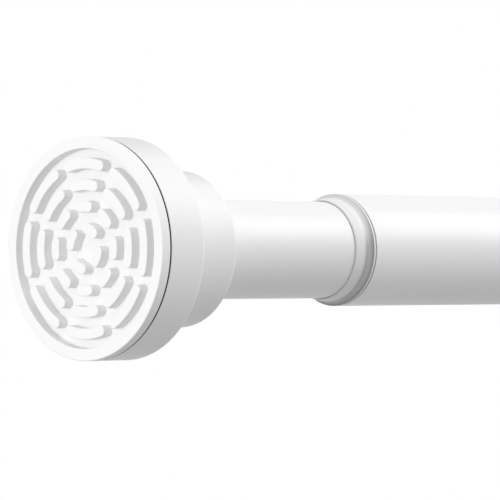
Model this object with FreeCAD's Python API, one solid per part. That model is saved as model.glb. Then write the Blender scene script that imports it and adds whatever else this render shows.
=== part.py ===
import FreeCAD, Part
import math
import os

# Spring tension rod: two telescoping tubes that an inner spring wedges between two walls.
# The origin is the centre of the near pad's wall face. +X runs along the rod to the far
# wall and +Z is up. Sizes are in millimetres. The rod is drawn at its shortest, with the
# twist lock tight and the spring as long as the guide bush lets it grow.

# Rod
overall_length = 700.0
exposed_length = 43.2
spring_travel = 25.0

# Tubes
outer_tube_diameter = 25.0
inner_tube_diameter = 21.5
tube_wall = 0.7

# Pads
end_diameter = 47.0
pad_edge = 2.35
pad_edge_round = 0.5
plug_depth = 2.25
lip_width = 2.2
tread_depth = 2.1
ring_count = 4
rib_width = 2.0
rib_gap = 2.1
ribs_in_first_ring = 4
ribs_in_other_rings = 8

# End caps
pad_shadow_gap = 0.45
rim_wall = 1.3
cap_wall = 2.0
flange_length = 9.8
step_diameter = 33.5
step_length = 16.3
cap_round = 0.8
cap_front_round = 0.15
cap_root_round = 0.4
cap_rib_count = 8
cap_rib_thickness = 1.5
hub_length = 4.4
hub_wall = 2.0
hub_inset = 2.5

# Collar at the mouth of the outer tube
nose_length = 4.35
nose_lip_height = 0.25
nose_crown_height = 0.7
nose_crown_place = 2.2
nose_crown_round = 6.0
nose_front_round = 0.2
nose_back_height = 0.65
nose_flare_length = 0.42
nose_flare_round = 1.4
rim_length = 0.45
collar_shadow_gap = 0.4
collar_shoulder = 0.15
insert_length = 18.0

# Spring and its seats
wire_diameter = 1.8
spring_turns = 6
spring_length = 52.0
spring_tube_gap = 0.9
spigot_length = 3.0
spigot_gap = 0.4
stop_length = 10.0
stop_hole_diameter = 6.0
rolled_depth = 0.5
rolled_floor = 1.4
rolled_slope = 0.7

# Spindle and guide bush
head_thickness = 3.0
head_tube_gap = 0.4
shank_flats = 10.0
journal_diameter = 8.0
bush_length = 17.0
bush_flange = 2.0
bush_flange_gap = 0.3
travel_margin = 1.5

# Twist lock
thrust_washer_thickness = 1.2
thrust_washer_diameter = 15.0
sleeve_length = 26.0
sleeve_end_wall = 4.5
sleeve_mouth_wall = 2.35
cone_taper = 2.5
slot_count = 4
slot_width = 2.2
slot_length = 19.0
drag_ring_width = 2.0
drag_ring_height = 1.5
drag_ring_offset = 1.2
nut_length = 14.0
nut_travel = 4.0
nut_room = 1.0
key_gap = 0.2
key_inset = 0.8
end_washer_thickness = 1.0
end_washer_diameter = 12.0
screw_head_diameter = 6.0
screw_head_height = 2.4
screw_head_round = 0.8
screw_diameter = 3.0
screw_length = 9.0
screw_hole_spare = 1.0
lock_end_room = 4.0

# Clearances, each on the radius or between two flats
pad_fit = 0.05
socket_fit = 0.05
insert_fit = 0.05
plug_fit = 0.05
collar_running_fit = 0.1
shank_running_fit = 0.1
journal_running_fit = 0.1
screw_fit = 0.05
cone_fit = 0.1
sleeve_grip_gap = 0.15
drag_ring_gap = 0.05
ring_groove_fit = 0.05

ORIGIN = FreeCAD.Vector(0, 0, 0)
ROD_AXIS = FreeCAD.Vector(1, 0, 0)
UP = FreeCAD.Vector(0, 0, 1)

# Radii that several pieces share
end_radius = end_diameter / 2
outer_radius = outer_tube_diameter / 2
outer_bore = outer_radius - tube_wall
inner_radius = inner_tube_diameter / 2
inner_bore = inner_radius - tube_wall
journal_radius = journal_diameter / 2
ring_pitch = (end_radius - lip_width + rib_width / 2) / (ring_count + 1)
spring_radius = inner_bore - spring_tube_gap - wire_diameter / 2
spigot_radius = spring_radius - wire_diameter / 2 - spigot_gap
sleeve_radius = outer_bore - sleeve_grip_gap
cone_mouth_radius = sleeve_radius - sleeve_mouth_wall

# Places along the rod, from the near wall
cap_front = pad_edge + pad_shadow_gap
pad_seat = pad_edge + plug_depth
flange_back = cap_front + flange_length
step_back = flange_back + step_length
tube_stop = pad_seat + hub_length
collar_mouth = step_back + exposed_length
rim_front = collar_mouth + nose_length
rim_back = rim_front + rim_length
outer_tube_start = rim_back + collar_shadow_gap
outer_tube_end = overall_length - tube_stop
spindle_end = outer_tube_end - lock_end_room - screw_head_height - end_washer_thickness
sleeve_end = spindle_end - nut_room - nut_travel
sleeve_start = sleeve_end - sleeve_length
shoulder = sleeve_start - thrust_washer_thickness
inner_tube_end = shoulder - travel_margin - spring_travel - bush_flange
bush_start = inner_tube_end - bush_length
spring_end = bush_start - head_thickness
spring_start = spring_end - spring_length
stop_start = spring_start - stop_length
stop_roll = stop_start + stop_length / 2
bush_roll = bush_start + bush_length / 2


def outline(corners):
    """Closed wire through (x, z) corners. A third number rounds that corner by its radius."""
    points = [FreeCAD.Vector(corner[0], 0, corner[1]) for corner in corners]
    bends = []
    for i, corner in enumerate(corners):
        here = points[i]
        if len(corner) == 2:
            bends.append((here, None, here))
            continue
        radius = corner[2]
        back = (points[i - 1] - here).normalize()
        ahead = (points[(i + 1) % len(points)] - here).normalize()
        half_angle = back.getAngle(ahead) / 2
        reach = radius / math.tan(half_angle)
        inward = (back + ahead).normalize()
        middle = here + inward * (radius / math.sin(half_angle) - radius)
        bends.append((here + back * reach, middle, here + ahead * reach))
    edges = []
    for i, (entry, middle, leave) in enumerate(bends):
        if middle is not None:
            edges.append(Part.Arc(entry, middle, leave).toShape())
        following = bends[(i + 1) % len(bends)][0]
        edges.append(Part.LineSegment(leave, following).toShape())
    return Part.Wire(edges)


def turned(corners):
    """Solid of revolution about the rod's axis, from (x, radius) corners."""
    return Part.Face(outline(corners)).revolve(ORIGIN, ROD_AXIS, 360)


def ring(start, end, outer, bore):
    """Plain ring or sleeve about the rod's axis."""
    return turned([(start, bore), (start, outer), (end, outer), (end, bore)])


def rod(start, end, radius):
    """Plain cylinder about the rod's axis."""
    return Part.makeCylinder(radius, end - start, FreeCAD.Vector(start, 0, 0), ROD_AXIS)


def hexagon(start, end, flats):
    """Hexagonal bar about the rod's axis, with two flats facing up and down."""
    corner = flats / math.sqrt(3)
    turns = [math.radians(60 * i) for i in range(7)]
    points = [FreeCAD.Vector(start, corner * math.cos(t), corner * math.sin(t)) for t in turns]
    return Part.Face(Part.makePolygon(points)).extrude(FreeCAD.Vector(end - start, 0, 0))


def around(shape, count):
    """Copies of a shape, evenly turned about the rod's axis."""
    return [shape.rotated(ORIGIN, ROD_AXIS, 360 * i / count) for i in range(count)]


def at_far_end(shape):
    """The same piece turned end for end, so that it faces the far wall."""
    return shape.rotated(FreeCAD.Vector(overall_length / 2, 0, 0), UP, 180)


def on_face(radius, angle):
    """Point on the wall plane, at an angle that grows from -Y towards +Z."""
    return FreeCAD.Vector(0, -radius * math.cos(angle), radius * math.sin(angle))


def tread_rib(radius, middle, half_span):
    """One raised arc of the tread, with round ends, as tall as the tread is deep."""
    half_width = rib_width / 2
    half_arc = half_span - half_width / radius
    first = middle - half_arc
    last = middle + half_arc
    outer = radius + half_width
    inner = radius - half_width
    edges = [
        Part.Arc(on_face(outer, first), on_face(outer, middle), on_face(outer, last)),
        Part.Arc(on_face(outer, last), on_face(radius, middle + half_span), on_face(inner, last)),
        Part.Arc(on_face(inner, last), on_face(inner, middle), on_face(inner, first)),
        Part.Arc(on_face(inner, first), on_face(radius, middle - half_span), on_face(outer, first)),
    ]
    face = Part.Face(Part.Wire([edge.toShape() for edge in edges]))
    return face.extrude(FreeCAD.Vector(tread_depth, 0, 0))


def tread():
    """All the ribs: the first ring sits between the spokes, the others line up in spokes."""
    ribs = []
    for number in range(ring_count):
        count = ribs_in_other_rings if number else ribs_in_first_ring
        stagger = 0 if number else -math.pi / ribs_in_other_rings
        radius = ring_pitch * (number + 1)
        half_span = math.pi / count - rib_gap / 2 / radius
        for i in range(count):
            ribs.append(tread_rib(radius, stagger + 2 * math.pi * i / count, half_span))
    return ribs


def pad():
    """Rubber pad: a lip round a recessed tread, and a plug that fills the cap's rim."""
    lip_bore = end_radius - lip_width
    plug_radius = end_radius - rim_wall - pad_fit
    disc = turned([
        (tread_depth, 0),
        (tread_depth, lip_bore),
        (0, lip_bore),
        (0, end_radius, pad_edge_round),
        (pad_edge, end_radius),
        (pad_edge, plug_radius),
        (pad_seat, plug_radius),
        (pad_seat, 0),
    ])
    return disc.fuse(tread()).removeSplitter()


def cap_shell(socket):
    """Stepped outer wall of an end cap, open to the front, with the tube's hole at the back."""
    flange_bore = end_radius - cap_wall
    step_radius = step_diameter / 2
    step_bore = step_radius - cap_wall
    return turned([
        (cap_front, end_radius - rim_wall),
        (cap_front, end_radius, cap_front_round),
        (flange_back, end_radius, cap_round),
        (flange_back, step_radius, cap_root_round),
        (step_back, step_radius, cap_round),
        (step_back, socket),
        (step_back - cap_wall, socket),
        (step_back - cap_wall, step_bore),
        (flange_back - cap_wall, step_bore),
        (flange_back - cap_wall, flange_bore),
        (pad_seat, flange_bore),
        (pad_seat, end_radius - rim_wall),
    ])


def cap_rib(socket, hub_middle):
    """One rib inside an end cap. It backs the pad, stops the tube and grips its side."""
    root = cap_wall / 2
    flange_root = end_radius - root
    step_root = step_diameter / 2 - root
    side = Part.Face(outline([
        (pad_seat, hub_middle),
        (pad_seat, flange_root),
        (flange_back - root, flange_root),
        (flange_back - root, step_root),
        (step_back - root, step_root),
        (step_back - root, socket),
        (tube_stop, socket),
        (tube_stop, hub_middle),
    ]))
    side.translate(FreeCAD.Vector(0, -cap_rib_thickness / 2, 0))
    return side.extrude(FreeCAD.Vector(0, cap_rib_thickness, 0))


def end_cap(tube_radius):
    """Moulded end cap: a thin shell stiffened by ribs that meet in a hub behind the pad."""
    socket = tube_radius + socket_fit
    hub_radius = tube_radius - hub_inset
    hub = ring(pad_seat, tube_stop, hub_radius, hub_radius - hub_wall)
    ribs = around(cap_rib(socket, hub_radius - hub_wall / 2), cap_rib_count)
    return cap_shell(socket).fuse([hub] + ribs).removeSplitter()


def rolled_groove(middle, radius):
    """Corners of a groove rolled into a wall of this radius, in order along +X."""
    floor = rolled_floor / 2
    mouth = floor + rolled_slope
    return [
        (middle - mouth, radius),
        (middle - floor, radius - rolled_depth),
        (middle + floor, radius - rolled_depth),
        (middle + mouth, radius),
    ]


def inner_tube():
    """Thin tube with two rolled grooves that hold the spring stop and the guide bush."""
    outside = rolled_groove(stop_roll, inner_radius) + rolled_groove(bush_roll, inner_radius)
    inside = rolled_groove(stop_roll, inner_bore) + rolled_groove(bush_roll, inner_bore)
    start = [(tube_stop, inner_bore), (tube_stop, inner_radius)]
    end = [(inner_tube_end, inner_radius), (inner_tube_end, inner_bore)]
    return turned(start + outside + end + inside[::-1])


def outer_tube():
    """Thin tube from the collar to the far end cap."""
    return ring(outer_tube_start, outer_tube_end, outer_radius, outer_bore)


def tube_collar():
    """Guide for the inner tube: a low nose that flares to a thin rim, and a sleeve in the outer tube."""
    bore = inner_radius + collar_running_fit
    shoulder_radius = outer_bore + collar_shoulder
    sleeve = outer_bore - insert_fit
    return turned([
        (collar_mouth, bore),
        (collar_mouth, bore + nose_lip_height, nose_front_round),
        (collar_mouth + nose_crown_place, bore + nose_crown_height, nose_crown_round),
        (rim_front - nose_flare_length, bore + nose_back_height, nose_flare_round),
        (rim_front, outer_radius),
        (rim_back, outer_radius),
        (rim_back, shoulder_radius),
        (outer_tube_start, shoulder_radius),
        (outer_tube_start, sleeve),
        (outer_tube_start + insert_length, sleeve),
        (outer_tube_start + insert_length, bore),
    ])


def spring_stop():
    """Plug that the inner tube is rolled onto, with a spigot that centres the spring."""
    radius = inner_bore - plug_fit
    hole = stop_hole_diameter / 2
    start = [(stop_start, hole), (stop_start, radius)]
    end = [
        (spring_start, radius),
        (spring_start, spigot_radius),
        (spring_start + spigot_length, spigot_radius),
        (spring_start + spigot_length, hole),
    ]
    return turned(start + rolled_groove(stop_roll, radius) + end)


def spring():
    """Round-wire compression spring, both ends ground flat."""
    pitch = spring_length / spring_turns
    run = spring_length + 2 * wire_diameter
    path = Part.makeHelix(pitch, run, spring_radius)
    section = Part.Wire(Part.makeCircle(
        wire_diameter / 2, FreeCAD.Vector(spring_radius, 0, 0), FreeCAD.Vector(0, 1, 0)))
    wire = path.makePipeShell([section], True, True)
    ground = Part.makeCylinder(
        inner_bore, spring_length, FreeCAD.Vector(0, 0, wire_diameter), UP)
    coil = wire.common(ground)
    coil.translate(FreeCAD.Vector(0, 0, -wire_diameter))
    coil.rotate(ORIGIN, FreeCAD.Vector(0, 1, 0), 90)
    coil.translate(FreeCAD.Vector(spring_start, 0, 0))
    return coil


def spindle():
    """Piston head, hexagonal shank and a journal that takes the lock's thread."""
    head = rod(spring_end, bush_start, inner_bore - head_tube_gap)
    spigot = rod(spring_end - spigot_length, spring_end + head_thickness / 2, spigot_radius)
    shank = hexagon(bush_start - head_thickness / 2, shoulder, shank_flats)
    journal = rod(shoulder - head_thickness, spindle_end, journal_radius)
    hole = rod(spindle_end - screw_length - screw_hole_spare, spindle_end, screw_diameter / 2 + screw_fit)
    return head.fuse([spigot, shank, journal]).cut(hole).removeSplitter()


def guide_bush():
    """Flanged bush in the end of the inner tube. Its hexagonal bore keeps the spindle from turning."""
    radius = inner_bore - plug_fit
    flange_radius = outer_bore - bush_flange_gap
    flange_end = inner_tube_end + bush_flange
    start = [(bush_start, 0), (bush_start, radius)]
    end = [
        (inner_tube_end, radius),
        (inner_tube_end, flange_radius),
        (flange_end, flange_radius),
        (flange_end, 0),
    ]
    body = turned(start + rolled_groove(bush_roll, radius) + end)
    return body.cut(hexagon(bush_start, flange_end, shank_flats + 2 * shank_running_fit))


def thrust_washer():
    """Washer between the spindle's shoulder and the expander."""
    bore = journal_radius + journal_running_fit
    return ring(shoulder, sleeve_start, thrust_washer_diameter / 2, bore)


def drag_ring():
    """Rubber ring that drags on the outer tube, so that a twist works the lock."""
    start = sleeve_start + drag_ring_offset + ring_groove_fit
    outer = outer_bore - drag_ring_gap
    return ring(start, start + drag_ring_width, outer, outer - drag_ring_height)


def expander_sleeve():
    """Slotted sleeve that the cone nut spreads against the outer tube's bore."""
    cone_start = sleeve_end - nut_length
    throat = cone_mouth_radius - cone_taper
    hole = journal_radius + journal_running_fit
    body = turned([
        (sleeve_start, hole),
        (sleeve_start, sleeve_radius),
        (sleeve_end, sleeve_radius),
        (sleeve_end, cone_mouth_radius),
        (cone_start, throat),
        (sleeve_start + sleeve_end_wall, throat),
        (sleeve_start + sleeve_end_wall, hole),
    ])
    ring_floor = outer_bore - drag_ring_gap - drag_ring_height - ring_groove_fit
    groove_start = sleeve_start + drag_ring_offset
    groove_end = groove_start + drag_ring_width + 2 * ring_groove_fit
    groove = ring(groove_start, groove_end, outer_radius, ring_floor)
    slot = Part.makeBox(
        slot_length, slot_width, outer_radius,
        FreeCAD.Vector(sleeve_end - slot_length, -slot_width / 2, 0))
    return body.cut([groove] + around(slot, slot_count))


def cone_nut():
    """Tapered nut on the spindle's thread, keyed by fins that ride in the sleeve's slots."""
    start = sleeve_end - nut_length
    hole = journal_radius + journal_running_fit
    mouth = cone_mouth_radius - cone_fit
    body = turned([
        (start, hole),
        (start, mouth - cone_taper),
        (sleeve_end, mouth),
        (sleeve_end, hole),
    ])
    width = slot_width - 2 * key_gap
    root = (hole + mouth - cone_taper) / 2
    fin = Part.makeBox(
        nut_length, width, sleeve_radius - key_inset - root,
        FreeCAD.Vector(start, -width / 2, root))
    return body.fuse(around(fin, slot_count)).removeSplitter()


def end_washer():
    """Washer that keeps the loosened nut on the spindle."""
    end = spindle_end + end_washer_thickness
    return ring(spindle_end, end, end_washer_diameter / 2, screw_diameter / 2 + screw_fit)


def end_screw():
    """Screw that holds the end washer, with a domed head."""
    head_start = spindle_end + end_washer_thickness
    head_end = head_start + screw_head_height
    head_radius = screw_head_diameter / 2
    return turned([
        (spindle_end - screw_length, 0),
        (spindle_end - screw_length, screw_diameter / 2),
        (head_start, screw_diameter / 2),
        (head_start, head_radius),
        (head_end, head_radius, screw_head_round),
        (head_end, 0),
    ])


PIECES = {
    "near_pad": pad(),
    "near_end_cap": end_cap(inner_radius),
    "inner_tube": inner_tube(),
    "spring_stop": spring_stop(),
    "spring": spring(),
    "spindle": spindle(),
    "guide_bush": guide_bush(),
    "thrust_washer": thrust_washer(),
    "expander_sleeve": expander_sleeve(),
    "drag_ring": drag_ring(),
    "cone_nut": cone_nut(),
    "end_washer": end_washer(),
    "end_screw": end_screw(),
    "outer_tube": outer_tube(),
    "tube_collar": tube_collar(),
    "far_end_cap": at_far_end(end_cap(outer_radius)),
    "far_pad": at_far_end(pad()),
}

os.makedirs("parts", exist_ok=True)
for name, shape in PIECES.items():
    shape.exportStep(f"parts/{name}.step")
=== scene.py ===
"""Looks of a spring tension rod: painted tubes, moulded caps, ribbed pads and the lock inside.

Sizes are in millimetres: x runs along the rod from the near wall, and r is the distance from the
rod's axis. Meshes are in metres, in the same frame as the solids.
"""

import logging
import math
from abc import ABC, abstractmethod
from collections.abc import Sequence
from dataclasses import dataclass
from enum import Enum, IntEnum
from typing import TypeVar

import bmesh
import bpy
from mathutils import Matrix, Vector


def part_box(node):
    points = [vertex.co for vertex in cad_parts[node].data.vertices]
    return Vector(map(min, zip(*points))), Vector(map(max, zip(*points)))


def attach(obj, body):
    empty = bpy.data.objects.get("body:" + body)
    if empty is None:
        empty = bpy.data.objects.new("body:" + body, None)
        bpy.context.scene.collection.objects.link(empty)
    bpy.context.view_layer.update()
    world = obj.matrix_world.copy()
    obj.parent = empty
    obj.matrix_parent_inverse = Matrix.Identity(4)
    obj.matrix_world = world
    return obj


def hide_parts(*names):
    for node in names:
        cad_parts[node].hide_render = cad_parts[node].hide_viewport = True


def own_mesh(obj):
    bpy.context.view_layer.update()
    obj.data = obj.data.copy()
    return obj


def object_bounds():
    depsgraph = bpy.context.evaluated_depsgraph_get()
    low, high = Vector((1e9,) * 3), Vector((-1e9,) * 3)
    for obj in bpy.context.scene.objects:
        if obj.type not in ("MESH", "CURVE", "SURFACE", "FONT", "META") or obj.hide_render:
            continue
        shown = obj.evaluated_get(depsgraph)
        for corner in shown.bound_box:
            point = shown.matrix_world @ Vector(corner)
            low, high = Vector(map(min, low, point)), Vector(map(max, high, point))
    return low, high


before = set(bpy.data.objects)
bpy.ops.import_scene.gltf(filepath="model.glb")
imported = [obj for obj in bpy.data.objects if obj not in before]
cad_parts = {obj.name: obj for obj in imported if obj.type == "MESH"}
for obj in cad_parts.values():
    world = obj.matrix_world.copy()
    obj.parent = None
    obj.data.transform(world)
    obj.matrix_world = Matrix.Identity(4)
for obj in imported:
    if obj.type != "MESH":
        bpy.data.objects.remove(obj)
cad_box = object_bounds()

MM = 0.001
ORIGIN = Vector((0.0, 0.0, 0.0))
ROD_AXIS = Vector((1.0, 0.0, 0.0))
QUARTER_TURN = math.pi / 2
HALF_TURN = math.pi
FULL_TURN = 2 * math.pi
TURN_STEPS = 160
HEXAGON_SIDES = 6
CREASE = math.radians(40)
ROUND_PROFILE = 0.5
PAINTED_SHADE_FINISH = 1
# Samples of the occlusion that the painted crevice shade follows.
PAINTED_SHADE_SAMPLES = 16

# Points closer than this, in metres, are one point.
SAME_PLACE = 2e-6

# Detail of the noise in patches and in grain, and the part of the noise that the gloss follows.
PATCH_DETAIL = 3.0
GRAIN_DETAIL = 1.0
PATCH_SPREAD = (0.3, 0.7)

# How far up a face looks, from 0 when it is upright to 1: where the painted crevice shade starts
# to fade on faces that look up and where it is gone, and where the painted shade on faces that
# look up starts and where it is full.
CREVICE_SHADE_FADE_RISE = (0.08, 0.42)
TOP_SHADE_RISE = (0.78, 1.0)

Colour = tuple[float, float, float]
NodeTree = bpy.types.NodeTree
ShaderNode = bpy.types.Node
Socket = bpy.types.NodeSocket
Vert = bmesh.types.BMVert
Edge = bmesh.types.BMEdge
Kind = TypeVar("Kind", Vert, Edge)
log = logging.getLogger("tension_rod")


class End(Enum):
    """The two ends of the rod."""

    NEAR = "near"
    FAR = "far"

    def node(self, part: str) -> str:
        """Names this end's node of a part.

        Args:
            part: the part's name without its end.

        Returns:
            The node's name.
        """
        return f"{self.value}_{part}"


class Body(Enum):
    """The bodies that remade pieces ride on."""

    INNER = "inner"
    PLUNGER = "plunger"
    OUTER = "outer"


class Slot(Enum):
    """The rod's material slots."""

    PAD_RUBBER = "pad_rubber"
    CAP_PLASTIC = "cap_plastic"
    TUBE_PAINT = "tube_paint"
    LOCK_NYLON = "lock_nylon"
    SPRING_STEEL = "spring_steel"
    PLATED_STEEL = "plated_steel"
    DRAG_RUBBER = "drag_rubber"


class Relief(Enum):
    """The kinds of fine relief that a surface can carry."""

    WAVY = "wavy"
    PEBBLED = "pebbled"


class Facets(IntEnum):
    """How many faces a round has, from a broken edge to the sweep of a crown."""

    BROKEN = 2
    SMALL = 3
    COMMON = 4
    LARGE = 6
    FLARE = 8
    CROWN = 10


@dataclass(frozen=True)
class Finish:
    """A surface of two close shades, with a gloss that varies a little and a fine relief.

    Patches are the areas of shade and gloss, grain is the relief, and both sizes and the
    grain's depth are in millimetres. Stretch lengthens both along the rod. Painted shade darkens
    crevices up to its reach, also in millimetres, standing in for the shade that falls there. It
    is full where the surface is no more open than its openness, from 0 to 1, and leaves a share of
    the colour there. It can fade out on the faces that look up. A second painted shade leaves its
    own share of the colour on faces that look straight up.
    """

    name: str
    shade: Colour
    second_shade: Colour
    roughness: float
    roughness_swing: float
    patch_size: float
    grain_size: float
    grain_depth: float
    relief: Relief = Relief.WAVY
    stretch: float = 1.0
    metallic: float = 0.0
    specular: float = 0.5
    painted_shade_reach: float = 0.0
    painted_shade_openness: float = 0.5
    painted_shade_share: float = 1.0
    painted_shade_spares_top: bool = False
    top_painted_shade_share: float = 1.0

    def material(self) -> bpy.types.Material:
        """Gives the finish's material, made the first time it is asked for.

        Returns:
            The material.
        """
        made = bpy.data.materials.get(self.name)
        if made is not None:
            return made
        made = bpy.data.materials.new(self.name)
        made.use_nodes = True
        tree = made.node_tree
        shader = tree.nodes["Principled BSDF"]
        shader.inputs["Metallic"].default_value = self.metallic
        shader.inputs["Specular IOR Level"].default_value = self.specular
        place = tree.nodes.new("ShaderNodeTexCoord")
        mapping = tree.nodes.new("ShaderNodeMapping")
        mapping.inputs["Scale"].default_value = (1 / self.stretch, 1.0, 1.0)
        tree.links.new(place.outputs["Object"], mapping.inputs["Vector"])
        patches = self._patches(tree, mapping)
        self._shades(tree, patches, shader)
        self._gloss(tree, patches, shader)
        self._grain(tree, mapping, shader)
        return made

    def _patches(self, tree: NodeTree, mapping: ShaderNode) -> ShaderNode:
        """Adds the soft patches that vary the shade and the gloss.

        Args:
            tree: the material's nodes.
            mapping: the node that gives the place on the piece.

        Returns:
            The noise node.
        """
        patches = tree.nodes.new("ShaderNodeTexNoise")
        patches.inputs["Scale"].default_value = 1 / (self.patch_size * MM)
        patches.inputs["Detail"].default_value = PATCH_DETAIL
        tree.links.new(mapping.outputs["Vector"], patches.inputs["Vector"])
        return patches

    def _shades(self, tree: NodeTree, patches: ShaderNode, shader: ShaderNode) -> None:
        """Mixes the two shades by the patches and adds any painted shade the finish has.

        Args:
            tree: the material's nodes.
            patches: the noise node.
            shader: the surface shader.
        """
        mix = tree.nodes.new("ShaderNodeMix")
        mix.data_type = "RGBA"
        mix.inputs["A"].default_value = (*self.shade, 1.0)
        mix.inputs["B"].default_value = (*self.second_shade, 1.0)
        tree.links.new(patches.outputs["Fac"], mix.inputs["Factor"])
        colour = mix.outputs["Result"]
        if self.painted_shade_reach:
            colour = self._paint_crevice_shade(tree, colour)
        if self.top_painted_shade_share < 1.0:
            colour = self._paint_top_shade(tree, colour)
        tree.links.new(colour, shader.inputs["Base Color"])

    def _paint_crevice_shade(self, tree: NodeTree, colour: Socket) -> Socket:
        """Darkens the crevices of the piece with painted shade.

        Args:
            tree: the material's nodes.
            colour: the colour without painted shade.

        Returns:
            The colour with painted shade.
        """
        shelter = tree.nodes.new("ShaderNodeAmbientOcclusion")
        shelter.samples = PAINTED_SHADE_SAMPLES
        shelter.only_local = True
        shelter.inputs["Distance"].default_value = self.painted_shade_reach * MM
        share = self._ramp(
            tree, shelter.outputs["AO"], (self.painted_shade_openness, 1.0), (self.painted_shade_share, 1.0))
        dim = self._dim(tree, colour, share)
        # The painted crevice shade fades out on faces that look up, where more light falls.
        if self.painted_shade_spares_top:
            shade_kept = self._ramp(tree, self._rise(tree), CREVICE_SHADE_FADE_RISE, (1.0, 0.0))
            tree.links.new(shade_kept, dim.inputs["Factor"])
        return dim.outputs["Result"]

    def _paint_top_shade(self, tree: NodeTree, colour: Socket) -> Socket:
        """Darkens the faces that look up with painted shade.

        Args:
            tree: the material's nodes.
            colour: the colour without painted shade.

        Returns:
            The colour with painted shade.
        """
        share = self._ramp(tree, self._rise(tree), TOP_SHADE_RISE, (1.0, self.top_painted_shade_share))
        return self._dim(tree, colour, share).outputs["Result"]

    @staticmethod
    def _rise(tree: NodeTree) -> Socket:
        """Adds the measure of how far a face looks up, from -1 through 0 when it is upright to 1.

        Args:
            tree: the material's nodes.

        Returns:
            The measure.
        """
        facing = tree.nodes.new("ShaderNodeTexCoord")
        parts = tree.nodes.new("ShaderNodeSeparateXYZ")
        tree.links.new(facing.outputs["Normal"], parts.inputs["Vector"])
        return parts.outputs["Z"]

    @staticmethod
    def _ramp(
        tree: NodeTree, value: Socket, limits: tuple[float, float], results: tuple[float, float],
    ) -> Socket:
        """Adds a straight ramp that stays level outside its limits.

        Args:
            tree: the material's nodes.
            value: what the ramp follows.
            limits: the values where the ramp starts and ends.
            results: what it gives there.

        Returns:
            The ramp's result.
        """
        spread = tree.nodes.new("ShaderNodeMapRange")
        spread.inputs["From Min"].default_value, spread.inputs["From Max"].default_value = limits
        spread.inputs["To Min"].default_value, spread.inputs["To Max"].default_value = results
        tree.links.new(value, spread.inputs["Value"])
        return spread.outputs["Result"]

    @staticmethod
    def _dim(tree: NodeTree, colour: Socket, share: Socket) -> ShaderNode:
        """Leaves a share of a colour.

        Args:
            tree: the material's nodes.
            colour: the full colour.
            share: the share that is left.

        Returns:
            The node that mixes them.
        """
        dim = tree.nodes.new("ShaderNodeMix")
        dim.data_type = "RGBA"
        dim.blend_type = "MULTIPLY"
        dim.inputs["Factor"].default_value = 1.0
        tree.links.new(colour, dim.inputs["A"])
        tree.links.new(share, dim.inputs["B"])
        return dim

    def _gloss(self, tree: NodeTree, patches: ShaderNode, shader: ShaderNode) -> None:
        """Varies the roughness by the patches.

        Args:
            tree: the material's nodes.
            patches: the noise node.
            shader: the surface shader.
        """
        limits = self.roughness - self.roughness_swing, self.roughness + self.roughness_swing
        roughness = self._ramp(tree, patches.outputs["Fac"], PATCH_SPREAD, limits)
        tree.links.new(roughness, shader.inputs["Roughness"])

    def _grain(self, tree: NodeTree, mapping: ShaderNode, shader: ShaderNode) -> None:
        """Adds the fine relief.

        Args:
            tree: the material's nodes.
            mapping: the node that gives the place on the piece.
            shader: the surface shader.
        """
        if self.relief is Relief.PEBBLED:
            grain = tree.nodes.new("ShaderNodeTexVoronoi")
            height = grain.outputs["Distance"]
        else:
            grain = tree.nodes.new("ShaderNodeTexNoise")
            grain.inputs["Detail"].default_value = GRAIN_DETAIL
            height = grain.outputs["Fac"]
        grain.inputs["Scale"].default_value = 1 / (self.grain_size * MM)
        bump = tree.nodes.new("ShaderNodeBump")
        bump.inputs["Distance"].default_value = self.grain_depth * MM
        tree.links.new(mapping.outputs["Vector"], grain.inputs["Vector"])
        tree.links.new(height, bump.inputs["Height"])
        tree.links.new(bump.outputs["Normal"], shader.inputs["Normal"])


FINISHES: dict[Slot, Finish] = {
    # Painted shade: the rubber is a little darker in its crevices, at the feet of the ribs and the
    # lip.
    Slot.PAD_RUBBER: Finish(
        name="soft_white_rubber", shade=(0.9, 0.9, 0.9), second_shade=(0.87, 0.87, 0.87),
        roughness=0.6, roughness_swing=0.05, patch_size=9.0, grain_size=0.35, grain_depth=0.004,
        specular=0.35, painted_shade_reach=0.8, painted_shade_share=0.95,
    ),
    # Painted shade: the caps' plastic is darker on faces that look up.
    Slot.CAP_PLASTIC: Finish(
        name="moulded_white_plastic", shade=(0.87, 0.87, 0.87), second_shade=(0.85, 0.85, 0.85),
        roughness=0.45, roughness_swing=0.04, patch_size=14.0, grain_size=0.9, grain_depth=0.003,
        specular=0.3, top_painted_shade_share=0.77,
    ),
    Slot.TUBE_PAINT: Finish(
        name="white_enamel", shade=(0.87, 0.87, 0.87), second_shade=(0.85, 0.85, 0.85),
        roughness=0.38, roughness_swing=0.04, patch_size=16.0, grain_size=1.6, grain_depth=0.006,
        stretch=1.5, specular=0.3,
    ),
    Slot.LOCK_NYLON: Finish(
        name="natural_nylon", shade=(0.78, 0.76, 0.71), second_shade=(0.72, 0.7, 0.64),
        roughness=0.5, roughness_swing=0.06, patch_size=5.0, grain_size=0.4, grain_depth=0.006,
    ),
    Slot.SPRING_STEEL: Finish(
        name="bright_spring_wire", shade=(0.55, 0.55, 0.57), second_shade=(0.42, 0.42, 0.44),
        roughness=0.3, roughness_swing=0.08, patch_size=1.2, grain_size=0.2, grain_depth=0.004,
        metallic=1.0,
    ),
    Slot.PLATED_STEEL: Finish(
        name="zinc_plated_steel", shade=(0.66, 0.67, 0.68), second_shade=(0.56, 0.57, 0.6),
        roughness=0.34, roughness_swing=0.08, patch_size=2.5, grain_size=0.5, grain_depth=0.003,
        relief=Relief.PEBBLED, metallic=1.0,
    ),
    Slot.DRAG_RUBBER: Finish(
        name="black_rubber", shade=(0.05, 0.05, 0.05), second_shade=(0.075, 0.075, 0.075),
        roughness=0.62, roughness_swing=0.06, patch_size=2.0, grain_size=0.3, grain_depth=0.008,
        relief=Relief.PEBBLED, specular=0.4,
    ),
}
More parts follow.
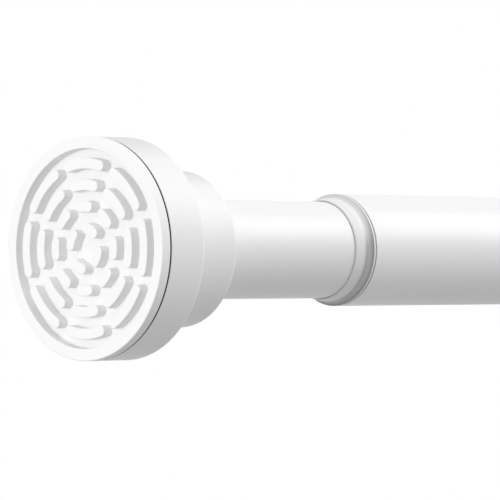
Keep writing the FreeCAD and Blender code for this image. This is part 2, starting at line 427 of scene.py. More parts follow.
# Painted shade: the collar's plastic turns near black in the crevice before its rim, but not on
# faces that look up.
COLLAR_FINISH = Finish(
    name="collar_plastic_painted_shade", shade=(0.87, 0.87, 0.87), second_shade=(0.85, 0.85, 0.85),
    roughness=0.45, roughness_swing=0.04, patch_size=8.0, grain_size=0.9, grain_depth=0.003,
    specular=0.3, painted_shade_reach=2.4, painted_shade_openness=0.83, painted_shade_share=0.02, painted_shade_spares_top=True,
)
# Painted shade: a dark grey on the collar's faces in the slit between its rim and the tube.
GROOVE_PAINTED_SHADE = Finish(
    name="groove_painted_shade", shade=(0.34, 0.34, 0.34), second_shade=(0.3, 0.3, 0.3),
    roughness=0.7, roughness_swing=0.05, patch_size=1.5, grain_size=0.3, grain_depth=0.004,
    specular=0.2,
)
# Painted shade: near black on the faces inside the gap between each pad and its cap.
SEAM_PAINTED_SHADE = Finish(
    name="seam_painted_shade", shade=(0.05, 0.05, 0.05), second_shade=(0.07, 0.07, 0.07),
    roughness=0.7, roughness_swing=0.05, patch_size=1.5, grain_size=0.3, grain_depth=0.004,
    specular=0.2,
)


@dataclass(frozen=True)
class Corner:
    """One corner of a turned outline, rounded by a radius where it has one."""

    x: float
    r: float
    radius: float = 0.0
    segments: int = Facets.COMMON

    def place(self) -> Vector:
        """Gives the corner as a point of the outline's plane.

        Returns:
            The point, in millimetres.
        """
        return Vector((self.x, self.r))


def only(kind: type[Kind], items: Sequence) -> list[Kind]:
    """Picks the items of one kind from what a mesh step gives back.

    Args:
        kind: the kind to keep.
        items: the step's vertices, edges and faces.

    Returns:
        The items of that kind, in order.
    """
    return [item for item in items if isinstance(item, kind)]


class Workpiece:
    """A mesh that is being shaped about the rod's axis."""

    def __init__(self) -> None:
        """Starts with an empty mesh."""
        self.bm = bmesh.new()

    def turn(self, corners: Sequence[Corner], closed: bool = True) -> None:
        """Turns an outline about the rod's axis and rounds its corners.

        Args:
            corners: the outline's corners, in order.
            closed: whether the last corner joins the first.
        """
        others = set(self.bm.edges)
        verts = [self.bm.verts.new((corner.x * MM, 0.0, corner.r * MM)) for corner in corners]
        following = verts[1:] + verts[:1] if closed else verts[1:]
        edges = [self.bm.edges.new(pair) for pair in zip(verts, following)]
        bmesh.ops.spin(
            self.bm, geom=verts + edges, cent=ORIGIN, axis=ROD_AXIS,
            angle=FULL_TURN, steps=TURN_STEPS, use_merge=True)
        for number, corner in enumerate(corners):
            if corner.radius:
                back = corners[number - 1].place() - corner.place()
                ahead = corners[(number + 1) % len(corners)].place() - corner.place()
                reach = corner.radius / math.tan(back.angle(ahead) / 2)
                circle = [edge for edge in self.circle(corner.x, corner.r) if edge not in others]
                self.bevel(circle, reach, corner.segments)

    def bevel(self, edges: Sequence[Edge], reach: float, segments: int) -> None:
        """Rounds edges off.

        Args:
            edges: the edges to round.
            reach: how far the round reaches into the faces.
            segments: how many faces the round has.
        """
        bmesh.ops.bevel(
            self.bm, geom=list(edges), offset=reach * MM, offset_type="OFFSET",
            segments=segments, profile=ROUND_PROFILE, affect="EDGES", material=-1)

    def circle(self, x: float, r: float) -> list[Edge]:
        """Finds the edges of a circle about the rod's axis.

        Args:
            x: the circle's place along the rod.
            r: the circle's radius.

        Returns:
            The edges with both ends on the circle.
        """
        on_it = {
            vert for vert in self.bm.verts
            if abs(vert.co.x - x * MM) < SAME_PLACE
            and abs(math.hypot(vert.co.y, vert.co.z) - r * MM) < SAME_PLACE
        }
        return [edge for edge in self.bm.edges if on_it.issuperset(edge.verts)]

    def line(self, start: float, end: float) -> None:
        """Gives the painted shade, the second finish, to faces between two places along the rod.

        Args:
            start: the place of the first such faces.
            end: the place of the last ones.
        """
        for face in self.bm.faces:
            if start * MM - SAME_PLACE < face.calc_center_median().x < end * MM + SAME_PLACE:
                face.material_index = PAINTED_SHADE_FINISH

    def turn_end_for_end(self) -> None:
        """Moves the work from the near end of the rod to the far end."""
        middle = (cad_box[0] + cad_box[1]) / 2
        bmesh.ops.rotate(
            self.bm, verts=self.bm.verts, cent=middle, matrix=Matrix.Rotation(HALF_TURN, 3, "Z"))

    def finished(self, name: str) -> bpy.types.Object:
        """Closes the seams, points the faces outwards and makes the mesh an object.

        Args:
            name: the piece's name.

        Returns:
            The piece, at the origin with its place in its mesh.
        """
        bmesh.ops.remove_doubles(self.bm, verts=self.bm.verts, dist=SAME_PLACE)
        bmesh.ops.recalc_face_normals(self.bm, faces=self.bm.faces)
        for face in self.bm.faces:
            face.smooth = True
        mesh = bpy.data.meshes.new(name)
        self.bm.to_mesh(mesh)
        self.bm.free()
        mesh.set_sharp_from_angle(angle=CREASE)
        piece = bpy.data.objects.new(name, mesh)
        bpy.context.scene.collection.objects.link(piece)
        return piece


class Assembly(ABC):
    """A group of pieces that are made and dressed together."""

    @abstractmethod
    def build(self) -> list[bpy.types.Object]:
        """Makes and dresses the pieces.

        Returns:
            The pieces.
        """

    @staticmethod
    def dress(
        work: Workpiece, name: str, node: str, body: Body, slot: Slot,
        finishes: Sequence[Finish] = (),
    ) -> bpy.types.Object:
        """Makes a piece of the work, gives it its finish and puts it in its node's place.

        Args:
            work: the shaped mesh.
            name: the piece's name.
            node: the node that the piece stands for.
            body: the body that it moves with.
            slot: the slot whose finish it gets when it is given no others.
            finishes: its finishes, where it has others than its slot's.

        Returns:
            The piece.
        """
        piece = work.finished(name)
        for finish in finishes or (FINISHES[slot],):
            piece.data.materials.append(finish.material())
        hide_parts(node)
        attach(piece, body.value)
        return piece

    @staticmethod
    def even_shading(piece: bpy.types.Object) -> None:
        """Keeps the shading of flat faces flat beside their rounded edges.

        Args:
            piece: the piece to shade.
        """
        weighting = piece.modifiers.new("even_shading", "WEIGHTED_NORMAL")
        weighting.keep_sharp = True

    @staticmethod
    def dress_node(node: str, slot: Slot) -> bpy.types.Object:
        """Gives a node that stays its finish.

        Args:
            node: the node's name.
            slot: the slot that names its finish.

        Returns:
            The node's object.
        """
        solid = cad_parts[node]
        for material_slot in solid.material_slots:
            material_slot.material = FINISHES[slot].material()
        return solid


@dataclass
class RibbedPad(Assembly):
    """Rubber pad with a lip round a recessed tread of raised arcs.

    A plug behind it fills the cap's rim.
    """

    end: End
    body: Body
    edge: float = 2.35
    edge_round: float = 0.25
    back_round: float = 0.1
    plug_inset: float = 1.35
    lip_width: float = 2.55
    lip_round: float = 0.2
    tread_depth: float = 2.4
    ring_count: int = 4
    first_ring: float = 4.28
    ring_pitch: float = 4.52
    rib_width: float = 2.3
    rib_gap: float = 1.95
    rib_round: float = 0.2
    ribs_in_first_ring: int = 4
    ribs_in_other_rings: int = 8
    first_ring_turn_degrees: float = -24.5
    other_rings_turn_degrees: float = 0.9
    steps_along_ring: int = 144
    steps_round_end: int = 10
    fewest_steps: int = 4

    def build(self) -> list[bpy.types.Object]:
        """Makes and dresses the pad.

        Returns:
            The pad alone.
        """
        low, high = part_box(self.end.node("pad"))
        radius = high.z / MM
        seat = (high.x - low.x) / MM
        lip_bore = radius - self.lip_width
        plug = radius - self.plug_inset
        work = Workpiece()
        work.turn([
            Corner(seat, plug),
            Corner(self.edge, plug),
            Corner(self.edge, radius, self.back_round, Facets.BROKEN),
            Corner(0.0, radius, self.edge_round, Facets.LARGE),
            Corner(0.0, lip_bore, self.lip_round, Facets.SMALL),
            Corner(self.tread_depth, lip_bore),
        ], closed=False)
        # Painted shade: the back of the edge and the plug, inside the gap to the cap, get the near
        # black.
        work.line(self.edge, seat)
        back = work.circle(seat, plug)
        bmesh.ops.triangle_fill(work.bm, edges=back, use_beauty=True, normal=ROD_AXIS)
        floor = work.circle(self.tread_depth, lip_bore) + self._tread(work)
        bmesh.ops.triangle_fill(work.bm, edges=floor, use_beauty=True, normal=-ROD_AXIS)
        if self.end is End.FAR:
            work.turn_end_for_end()
        piece = self.dress(
            work, f"{self.end.value}_ribbed_pad", self.end.node("pad"), self.body, Slot.PAD_RUBBER,
            (FINISHES[Slot.PAD_RUBBER], SEAM_PAINTED_SHADE))
        self.even_shading(piece)
        return [piece]

    def _tread(self, work: Workpiece) -> list[Edge]:
        """Adds all the ribs: the first ring sits between the spokes, the others line up in spokes.

        Args:
            work: the pad's mesh.

        Returns:
            The edges where the ribs stand on the floor.
        """
        feet: list[Edge] = []
        for number in range(self.ring_count):
            count = self.ribs_in_other_rings if number else self.ribs_in_first_ring
            turn = math.radians(
                self.other_rings_turn_degrees if number else self.first_ring_turn_degrees)
            radius = self.first_ring + self.ring_pitch * number
            half_span = HALF_TURN / count - self.rib_gap / 2 / radius
            for i in range(count):
                feet += self._rib(work, radius, turn + FULL_TURN * i / count, half_span)
        return feet

    def _on_floor(self, radius: float, angle: float) -> Vector:
        """Finds a point on the recess's floor.

        Args:
            radius: its distance from the rod's axis.
            angle: its angle, which grows from -Y towards +Z.

        Returns:
            The point, in metres.
        """
        across = Vector((0.0, -math.cos(angle), math.sin(angle))) * radius
        return (across + ROD_AXIS * self.tread_depth) * MM

    def _rib(self, work: Workpiece, radius: float, middle: float, half_span: float) -> list[Edge]:
        """Adds one raised arc with round ends and a softened top.

        Args:
            work: the pad's mesh.
            radius: the radius of the arc's middle line.
            middle: the angle of its middle.
            half_span: the angle from its middle to its tip.

        Returns:
            The edges where it stands on the floor.
        """
        half_width = self.rib_width / 2
        half_arc = half_span - half_width / radius
        first = middle - half_arc
        last = middle + half_arc
        long_steps = max(self.fewest_steps, round(self.steps_along_ring * half_arc / HALF_TURN))
        walk = [
            (ORIGIN, 2 * half_arc, long_steps),
            (self._on_floor(radius, last), HALF_TURN, self.steps_round_end),
            (ORIGIN, -2 * half_arc, long_steps),
            (self._on_floor(radius, first), HALF_TURN, self.steps_round_end),
        ]
        others = set(work.bm.edges)
        start = work.bm.verts.new(self._on_floor(radius + half_width, first))
        tip = start
        for centre, angle, steps in walk:
            grown = bmesh.ops.spin(
                work.bm, geom=[tip], cent=centre, axis=-ROD_AXIS, angle=angle, steps=steps)
            tip = only(Vert, grown["geom_last"])[0]
        bmesh.ops.weld_verts(work.bm, targetmap={tip: start})
        foot = [edge for edge in work.bm.edges if edge not in others]
        raised = bmesh.ops.extrude_edge_only(work.bm, edges=foot)["geom"]
        top = only(Vert, raised)
        bmesh.ops.translate(work.bm, verts=top, vec=-ROD_AXIS * self.tread_depth * MM)
        crown = only(Edge, raised)
        bmesh.ops.contextual_create(work.bm, geom=crown)
        work.bevel(crown, self.rib_round, Facets.SMALL)
        return foot


@dataclass
class EndCap(Assembly):
    """Moulded cap: a stepped thin shell, cored from the front.

    Ribs that meet in a hub stand in it, behind the pad.
    """

    end: End
    body: Body
    tube: str
    rim_wall: float = 1.3
    wall: float = 2.0
    flange_length: float = 9.8
    step_radius: float = 16.75
    back_round: float = 0.8
    front_round: float = 0.15
    root_round: float = 0.4
    mouth_round: float = 0.2
    plug_depth: float = 1.8
    rib_count: int = 8
    rib_thickness: float = 1.5
    hub_length: float = 4.4
    hub_wall: float = 2.0
    hub_inset: float = 2.5
    socket_fit: float = 0.05

    def __post_init__(self) -> None:
        """Takes the cap's places, counted from its wall, and its radii from the solids."""
        low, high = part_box(self.end.node("end_cap"))
        self.start = (low.x if self.end is End.NEAR else cad_box[1].x - high.x) / MM
        self.seat = self.start + self.plug_depth
        self.flange_back = self.start + self.flange_length
        self.back = self.start + (high.x - low.x) / MM
        self.flange = high.z / MM
        self.tube_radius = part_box(self.tube)[1].z / MM
        self.socket = self.tube_radius + self.socket_fit

    def build(self) -> list[bpy.types.Object]:
        """Makes and dresses the cap.

        Returns:
            The cap alone.
        """
        work = Workpiece()
        self._shell(work)
        self._hub(work)
        self._ribs(work)
        # Painted shade: the rim's front face, inside the gap to the pad, gets the near black.
        work.line(self.start, self.start)
        if self.end is End.FAR:
            work.turn_end_for_end()
        piece = self.dress(
            work, f"{self.end.value}_stepped_cap", self.end.node("end_cap"), self.body,
            Slot.CAP_PLASTIC, (FINISHES[Slot.CAP_PLASTIC], SEAM_PAINTED_SHADE))
        self.even_shading(piece)
        return [piece]

    def _shell(self, work: Workpiece) -> None:
        """Adds the stepped wall, open to the front, with the tube's hole at the back.

        Args:
            work: the cap's mesh.
        """
        rim_bore = self.flange - self.rim_wall
        flange_bore = self.flange - self.wall
        step_bore = self.step_radius - self.wall
        flange_floor = self.flange_back - self.wall
        back_floor = self.back - self.wall
        work.turn([
            Corner(self.start, rim_bore),
            Corner(self.start, self.flange, self.front_round, Facets.SMALL),
            Corner(self.flange_back, self.flange, self.back_round, Facets.LARGE),
            Corner(self.flange_back, self.step_radius, self.root_round),
            Corner(self.back, self.step_radius, self.back_round, Facets.LARGE),
            Corner(self.back, self.socket, self.mouth_round, Facets.BROKEN),
            Corner(back_floor, self.socket),
            Corner(back_floor, step_bore),
            Corner(flange_floor, step_bore),
            Corner(flange_floor, flange_bore),
            Corner(self.seat, flange_bore),
            Corner(self.seat, rim_bore),
        ])

    def _hub(self, work: Workpiece) -> None:
        """Adds the ring that the ribs meet in.

        Args:
            work: the cap's mesh.
        """
        outer = self.tube_radius - self.hub_inset
        bore = outer - self.hub_wall
        end = self.seat + self.hub_length
        work.turn([
            Corner(self.seat, bore),
            Corner(self.seat, outer),
            Corner(end, outer),
            Corner(end, bore),
        ])

    def _ribs(self, work: Workpiece) -> None:
        """Adds the ribs, rooted in the middle of the wall and of the hub.

        Args:
            work: the cap's mesh.
        """
        root = self.wall / 2
        hub_middle = self.tube_radius - self.hub_inset - self.hub_wall / 2
        hub_end = self.seat + self.hub_length
        side = [
            (self.seat, hub_middle),
            (self.seat, self.flange - root),
            (self.flange_back - root, self.flange - root),
            (self.flange_back - root, self.step_radius - root),
            (self.back - root, self.step_radius - root),
            (self.back - root, self.socket),
            (hub_end, self.socket),
            (hub_end, hub_middle),
        ]
        half = self.rib_thickness / 2
        verts = [work.bm.verts.new(Vector((x, -half, r)) * MM) for x, r in side]
        face = work.bm.faces.new(verts)
        grown = bmesh.ops.extrude_face_region(work.bm, geom=[face], use_keep_orig=True)["geom"]
        far_side = only(Vert, grown)
        across = Vector((0.0, self.rib_thickness, 0.0)) * MM
        bmesh.ops.translate(work.bm, verts=far_side, vec=across)
        rib = list({
            item for vert in verts + far_side
            for item in (vert, *vert.link_edges, *vert.link_faces)
        })
        bmesh.ops.spin(
            work.bm, geom=rib, cent=ORIGIN, axis=ROD_AXIS,
            angle=FULL_TURN * (1 - 1 / self.rib_count), steps=self.rib_count - 1,
            use_duplicate=True)


@dataclass
class TubePair(Assembly):
    """The two painted tubes, with the grooves that are rolled into the inner one."""

    wall: float = 0.7
    edge_round: float = 0.15
    grooves: tuple[float, float] = (545.9, 614.4)
    groove_depth: float = 0.5
    groove_floor: float = 1.4
    groove_slope: float = 0.7

    def build(self) -> list[bpy.types.Object]:
        """Makes and dresses both tubes.

        Returns:
            The inner tube and the outer tube.
        """
        inner = self._tube("inner_tube", self.grooves)
        outer = self._tube("outer_tube", ())
        tubes = [
            self.dress(inner, "inner_painted_tube", "inner_tube", Body.INNER, Slot.TUBE_PAINT),
            self.dress(outer, "outer_painted_tube", "outer_tube", Body.OUTER, Slot.TUBE_PAINT),
        ]
        for tube in tubes:
            self.even_shading(tube)
        return tubes

    def _tube(self, node: str, grooves: Sequence[float]) -> Workpiece:
        """Shapes one tube.

        Args:
            node: the tube's node, which gives its length and width.
            grooves: the middles of its rolled grooves.

        Returns:
            The shaped mesh.
        """
        low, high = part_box(node)
        start = low.x / MM
        end = high.x / MM
        outside = high.z / MM
        bore = outside - self.wall
        over = [corner for middle in grooves for corner in self._groove(middle, outside)]
        under = [corner for middle in grooves for corner in self._groove(middle, bore)]
        work = Workpiece()
        work.turn([
            Corner(start, bore),
            Corner(start, outside, self.edge_round, Facets.BROKEN),
            *over,
            Corner(end, outside, self.edge_round, Facets.BROKEN),
            Corner(end, bore),
            *reversed(under),
        ])
        return work

    def _groove(self, middle: float, radius: float) -> list[Corner]:
        """Lays out a rolled groove.

        Args:
            middle: the groove's middle.
            radius: the radius of the wall that it is in.

        Returns:
            Its corners, in order along the rod.
        """
        floor = self.groove_floor / 2
        mouth = floor + self.groove_slope
        return [
            Corner(middle - mouth, radius),
            Corner(middle - floor, radius - self.groove_depth),
            Corner(middle + floor, radius - self.groove_depth),
            Corner(middle + mouth, radius),
        ]


@dataclass
class GuideCollar(Assembly):
    """Guide at the outer tube's mouth: a low nose that flares to a thin rim.

    A sleeve behind the rim sits in the tube.
    """

    wall: float = 0.7
    running_fit: float = 0.1
    insert_fit: float = 0.05
    nose_length: float = 4.35
    lip_height: float = 0.25
    lip_round: float = 0.2
    crown_place: float = 2.2
    crown_height: float = 0.7
    crown_round: float = 6.0
    back_height: float = 0.65
    flare_length: float = 0.42
    flare_round: float = 1.4
    rim_length: float = 0.45
    rim_round: float = 0.1
    shoulder_height: float = 0.15

    def build(self) -> list[bpy.types.Object]:
        """Makes and dresses the collar.

        Returns:
            The collar alone.
        """
        low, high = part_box("tube_collar")
        mouth = low.x / MM
        end = high.x / MM
        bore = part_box("inner_tube")[1].z / MM + self.running_fit
        tube_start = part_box("outer_tube")[0].x / MM
        tube_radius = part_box("outer_tube")[1].z / MM
        crown = mouth + self.crown_place
        rim_front = mouth + self.nose_length
        flare = rim_front - self.flare_length
        rim_back = rim_front + self.rim_length
        shoulder = tube_radius - self.wall + self.shoulder_height
        sleeve = tube_radius - self.wall - self.insert_fit
        work = Workpiece()
        work.turn([
            Corner(mouth, bore),
            Corner(mouth, bore + self.lip_height, self.lip_round),
            Corner(crown, bore + self.crown_height, self.crown_round, Facets.CROWN),
            Corner(flare, bore + self.back_height, self.flare_round, Facets.FLARE),
            Corner(rim_front, tube_radius, self.rim_round, Facets.SMALL),
            Corner(rim_back, tube_radius, self.rim_round, Facets.SMALL),
            Corner(rim_back, shoulder),
            Corner(tube_start, shoulder),
            Corner(tube_start, sleeve),
            Corner(end, sleeve),
            Corner(end, bore),
        ])
        # Painted shade: the faces in the slit between the rim and the tube get the dark grey.
        work.line(rim_back, tube_start)
        piece = self.dress(
            work, "guide_collar", "tube_collar", Body.OUTER, Slot.CAP_PLASTIC,
            (COLLAR_FINISH, GROOVE_PAINTED_SHADE))
        self.even_shading(piece)
        return [piece]


@dataclass
class SpringUnit(Assembly):
    """The compression spring and the plug and bush that the inner tube is rolled onto."""

    wire: float = 1.8
    turns: int = 6
    steps_a_turn: int = 64
    wire_sides: int = 18
    closed_length: float = 27.0

    def build(self) -> list[bpy.types.Object]:
        """Makes the spring and dresses its seats.

        Returns:
            The spring, the stop and the bush.
        """
        low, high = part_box("spring")
        spring = self.dress(
            self._coil(low, high), "coil_spring", "spring", Body.INNER, Slot.SPRING_STEEL)
        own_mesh(spring)
        return [
            spring,
            self.dress_node("spring_stop", Slot.LOCK_NYLON),
            self.dress_node("guide_bush", Slot.LOCK_NYLON),
        ]

    def _coil(self, low: Vector, high: Vector) -> Workpiece:
        """Shapes the coil and grinds its ends flat.

        Args:
            low: the spring's lowest corner.
            high: its highest corner.

        Returns:
            The shaped mesh.
        """
        work = Workpiece()
        radius = high.z - self.wire * MM / 2
        rise = (high.x - low.x) / self.turns
        run = high.x - low.x + 2 * self.wire * MM
        steps = round(run / rise * self.steps_a_turn)
        start = Vector((low.x - self.wire * MM, 0.0, -radius))
        section = bmesh.ops.create_circle(
            work.bm, segments=self.wire_sides, radius=self.wire * MM / 2,
            matrix=Matrix.Translation(start) @ Matrix.Rotation(QUARTER_TURN, 4, "X"))["verts"]
        edges = list({edge for vert in section for edge in vert.link_edges})
        bmesh.ops.spin(
            work.bm, geom=section + edges, cent=ORIGIN, axis=ROD_AXIS, dvec=ROD_AXIS * run / steps,
            angle=FULL_TURN * run / rise, steps=steps)
        for place, outwards in ((low.x, -ROD_AXIS), (high.x, ROD_AXIS)):
            everything = work.bm.verts[:] + work.bm.edges[:] + work.bm.faces[:]
            cut = bmesh.ops.bisect_plane(
                work.bm, geom=everything, plane_co=ROD_AXIS * place, plane_no=outwards,
                clear_outer=True)
            rim = only(Edge, cut["geom_cut"])
            bmesh.ops.triangle_fill(work.bm, edges=rim, use_beauty=True, normal=outwards)
        return work


@dataclass
class TwistLock(Assembly):
    """The spindle with its thread, and the expander, nut and washers that ride on it."""

    spigot_length: float = 3.0
    spigot_radius: float = 6.95
    spigot_round: float = 0.4
    head_thickness: float = 3.0
    head_round: float = 0.3
    shank_flats: float = 10.0
    journal_radius: float = 4.0
    thread_root: float = 3.45
    thread_lead: float = 4.0
    ridge_foot: float = 2.4
    ridge_crest: float = 1.3
    ridge_sink: float = 0.1
    thread_runout: float = 1.4
    steps_a_turn: int = 48
    hole_radius: float = 1.55
    hole_depth: float = 10.0

    def build(self) -> list[bpy.types.Object]:
        """Makes the spindle and dresses the rest of the lock.

        Returns:
            The spindle and the six other pieces.
        """
        spindle = self.dress(
            self._spindle(), "threaded_spindle", "spindle", Body.PLUNGER, Slot.PLATED_STEEL)
        return [
            spindle,
            self.dress_node("thrust_washer", Slot.PLATED_STEEL),
            self.dress_node("expander_sleeve", Slot.LOCK_NYLON),
            self.dress_node("drag_ring", Slot.DRAG_RUBBER),
            self.dress_node("cone_nut", Slot.LOCK_NYLON),
            self.dress_node("end_washer", Slot.PLATED_STEEL),
            self.dress_node("end_screw", Slot.PLATED_STEEL),
        ]

    def _spindle(self) -> Workpiece:
        """Shapes the piston head, the hexagonal shank, the journal and its thread.

        Returns:
            The shaped mesh.
        """
        low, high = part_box("spindle")
        head_start = low.x / MM + self.spigot_length
        head_end = head_start + self.head_thickness
        head = high.z / MM
        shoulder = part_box("thrust_washer")[0].x / MM
        sleeve_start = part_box("expander_sleeve")[0].x / MM
        end = high.x / MM
        plain_end = sleeve_start + self.thread_lead
        hole_end = end - self.hole_depth
        work = Workpiece()
        work.turn([
            Corner(low.x / MM, 0.0),
            Corner(low.x / MM, self.spigot_radius, self.spigot_round, Facets.SMALL),
            Corner(head_start, self.spigot_radius),
            Corner(head_start, head, self.head_round, Facets.SMALL),
            Corner(head_end, head, self.head_round, Facets.SMALL),
            Corner(head_end, 0.0),
        ], closed=False)
        self._shank(work, head_end - self.head_thickness / 2, shoulder)
        work.turn([
            Corner(shoulder - self.head_thickness, 0.0),
            Corner(shoulder - self.head_thickness, self.journal_radius),
            Corner(plain_end, self.journal_radius),
            Corner(plain_end + self.thread_runout, self.thread_root),
            Corner(end, self.thread_root),
            Corner(end, self.hole_radius),
            Corner(hole_end, self.hole_radius),
            Corner(hole_end, 0.0),
        ], closed=False)
        self._thread(work, plain_end + self.thread_runout, end)
        return work

    def _shank(self, work: Workpiece, start: float, end: float) -> None:
        """Adds the hexagonal bar, with two flats facing up and down.

        Args:
            work: the spindle's mesh.
            start: where the bar starts.
            end: where the bar ends.
        """
        corner_radius = self.shank_flats / math.sqrt(3)
        stand = Matrix.Translation(ROD_AXIS * start * MM) @ Matrix.Rotation(QUARTER_TURN, 4, "Y")
        turned = stand @ Matrix.Rotation(QUARTER_TURN, 4, "Z")
        base = bmesh.ops.create_circle(
            work.bm, cap_ends=True, segments=HEXAGON_SIDES, radius=corner_radius * MM,
            matrix=turned)["verts"]
        face = base[0].link_faces[0]
        grown = bmesh.ops.extrude_face_region(work.bm, geom=[face], use_keep_orig=True)["geom"]
        far_end = only(Vert, grown)
        bmesh.ops.translate(work.bm, verts=far_end, vec=ROD_AXIS * (end - start) * MM)

    def _thread(self, work: Workpiece, start: float, end: float) -> None:
        """Winds the thread's ridge round the journal.

        Args:
            work: the spindle's mesh.
            start: where the ridge starts.
            end: where the journal ends.
        """
        turns = (end - start - self.ridge_foot) / self.thread_lead
        steps = round(turns * self.steps_a_turn)
        run = turns * self.thread_lead * MM
        sunk = self.thread_root - self.ridge_sink
        side = (self.ridge_foot - self.ridge_crest) / 2
        section = [
            (start, sunk),
            (start + side, self.journal_radius),
            (start + self.ridge_foot - side, self.journal_radius),
            (start + self.ridge_foot, sunk),
        ]
        verts = [work.bm.verts.new((x * MM, 0.0, r * MM)) for x, r in section]
        edges = [work.bm.edges.new(pair) for pair in zip(verts, verts[1:] + verts[:1])]
        grown = bmesh.ops.spin(
            work.bm, geom=verts + edges, cent=ORIGIN, axis=ROD_AXIS, dvec=ROD_AXIS * run / steps,
            angle=FULL_TURN * turns, steps=steps)["geom_last"]
        last = only(Edge, grown)
        bmesh.ops.contextual_create(work.bm, geom=edges)
        bmesh.ops.contextual_create(work.bm, geom=last)


def grey(level: float) -> tuple[float, float, float, float]:
    """Gives an even grey.

    Args:
        level: its level, from 0 for black to 1 for white.

    Returns:
        The opaque colour.
    """
    return level, level, level, 1.0


@dataclass(frozen=True)
class Lamp:
    """A large soft lamp, far away.

    Its level is the brightness that it gives to a white surface that faces it.
    """

    name: str
    towards: tuple[float, float, float]
    level: float
    width_degrees: float

    def light(self) -> None:
        """Hangs the lamp."""
        data = bpy.data.lights.new(self.name, "SUN")
        data.energy = math.pi * self.level
        data.angle = math.radians(self.width_degrees)
        lamp = bpy.data.objects.new(self.name, data)
        lamp.rotation_euler = Vector(self.towards).to_track_quat("Z", "Y").to_euler()
        bpy.context.scene.collection.objects.link(lamp)


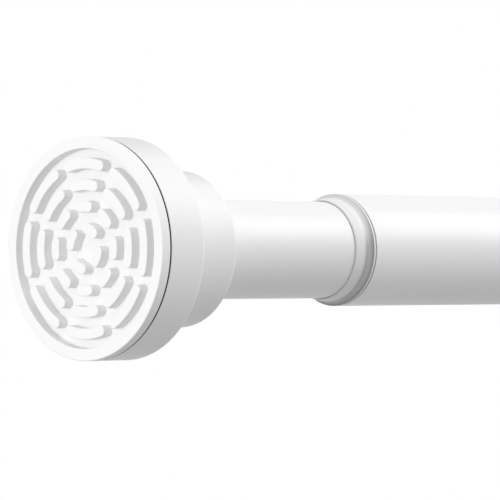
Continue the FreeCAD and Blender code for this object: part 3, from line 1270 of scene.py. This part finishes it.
@dataclass
class Studio:
    """Plain white studio: a pale floor, a soft white surround, three soft lamps and the camera.

    Its lengths are in metres, apart from the camera's lens, which is in millimetres.
    """

    surround_level: float = 0.58
    floor_drop: float = 0.3
    floor_radius: float = 2.2
    floor_sides: int = 96
    floor_shade: float = 0.42
    floor_seen_shade: float = 0.9
    camera_place: tuple[float, float, float] = (-0.5513, -0.5856, -0.0001)
    camera_aim: tuple[float, float, float] = (0.7163, 0.6978, 0.0)
    camera_roll_degrees: float = 0.3
    camera_lens: float = 277.0
    camera_clip: tuple[float, float] = (0.05, 20.0)
    lamps: tuple[Lamp, ...] = (
        Lamp("key_lamp", (0.716, -0.43, 0.55), 0.53, 38.0),
        Lamp("top_lamp", (-0.4, -0.3, 0.866), 0.14, 40.0),
        Lamp("wall_side_lamp", (-1.0, 0.0, 0.0), 0.5, 12.0),
    )

    def set_up(self) -> None:
        """Sets up the floor, the surround, the lamps and the camera."""
        bpy.context.scene.view_settings.view_transform = "Standard"
        self._surround()
        self._floor()
        for lamp in self.lamps:
            lamp.light()
        self._camera()

    @staticmethod
    def _seen_directly(tree: NodeTree) -> Socket:
        """Adds the test for what the camera sees, also in reflections and through clear pieces.

        Args:
            tree: the nodes to add it to.

        Returns:
            A socket that is 1 for such rays and 0 for others.
        """
        path = tree.nodes.new("ShaderNodeLightPath")
        seen = path.outputs["Is Camera Ray"]
        for kind in ("Is Glossy Ray", "Is Transmission Ray"):
            either = tree.nodes.new("ShaderNodeMath")
            either.operation = "MAXIMUM"
            tree.links.new(seen, either.inputs[0])
            tree.links.new(path.outputs[kind], either.inputs[1])
            seen = either.outputs[0]
        return seen

    def _surround(self) -> None:
        """Makes the surround white to the camera and an even soft light to the rod."""
        world = bpy.data.worlds.new("white_surround")
        world.use_nodes = True
        tree = world.node_tree
        light = tree.nodes["Background"]
        light.inputs["Color"].default_value = grey(1.0)
        light.inputs["Strength"].default_value = self.surround_level
        white = tree.nodes.new("ShaderNodeBackground")
        white.inputs["Color"].default_value = grey(1.0)
        white.inputs["Strength"].default_value = 1.0
        mix = tree.nodes.new("ShaderNodeMixShader")
        tree.links.new(self._seen_directly(tree), mix.inputs["Fac"])
        tree.links.new(light.outputs[0], mix.inputs[1])
        tree.links.new(white.outputs[0], mix.inputs[2])
        tree.links.new(mix.outputs[0], tree.nodes["World Output"].inputs["Surface"])
        bpy.context.scene.world = world

    def _floor(self) -> None:
        """Lays a pale round floor well below the rod."""
        material = bpy.data.materials.new("pale_floor")
        material.use_nodes = True
        tree = material.node_tree
        tree.nodes.remove(tree.nodes["Principled BSDF"])
        plain = tree.nodes.new("ShaderNodeBsdfDiffuse")
        plain.inputs["Color"].default_value = grey(self.floor_shade)
        seen = tree.nodes.new("ShaderNodeBsdfDiffuse")
        seen.inputs["Color"].default_value = grey(self.floor_seen_shade)
        mix = tree.nodes.new("ShaderNodeMixShader")
        tree.links.new(self._seen_directly(tree), mix.inputs["Fac"])
        tree.links.new(plain.outputs[0], mix.inputs[1])
        tree.links.new(seen.outputs[0], mix.inputs[2])
        tree.links.new(mix.outputs[0], tree.nodes["Material Output"].inputs["Surface"])
        middle = (cad_box[0] + cad_box[1]) / 2
        bm = bmesh.new()
        bmesh.ops.create_circle(
            bm, cap_ends=True, segments=self.floor_sides, radius=self.floor_radius,
            matrix=Matrix.Translation((middle.x, middle.y, middle.z - self.floor_drop)))
        mesh = bpy.data.meshes.new("floor")
        bm.to_mesh(mesh)
        bm.free()
        mesh.materials.append(material)
        floor = bpy.data.objects.new("floor", mesh)
        bpy.context.scene.collection.objects.link(floor)

    def _camera(self) -> None:
        """Stands the camera level with the rod, in front of its near end."""
        data = bpy.data.cameras.new("camera")
        data.lens = self.camera_lens
        data.clip_start, data.clip_end = self.camera_clip
        camera = bpy.data.objects.new("camera", data)
        camera.location = self.camera_place
        level = Vector(self.camera_aim).to_track_quat("-Z", "Y").to_matrix()
        roll = Matrix.Rotation(math.radians(self.camera_roll_degrees), 3, "Z")
        camera.rotation_euler = (level @ roll).to_euler()
        bpy.context.scene.collection.objects.link(camera)
        bpy.context.scene.camera = camera


def main() -> None:
    """Builds and dresses the rod, then sets up the studio."""
    logging.basicConfig(level=logging.INFO, format="%(message)s")
    assemblies: list[Assembly] = [
        RibbedPad(End.NEAR, Body.INNER),
        EndCap(End.NEAR, Body.INNER, "inner_tube"),
        TubePair(),
        GuideCollar(),
        EndCap(End.FAR, Body.OUTER, "outer_tube"),
        RibbedPad(End.FAR, Body.OUTER),
        SpringUnit(),
        TwistLock(),
    ]
    for assembly in assemblies:
        for piece in assembly.build():
            log.info("%s: %d faces", piece.name, len(piece.data.polygons))
    Studio().set_up()


if __name__ == "__main__":
    main()
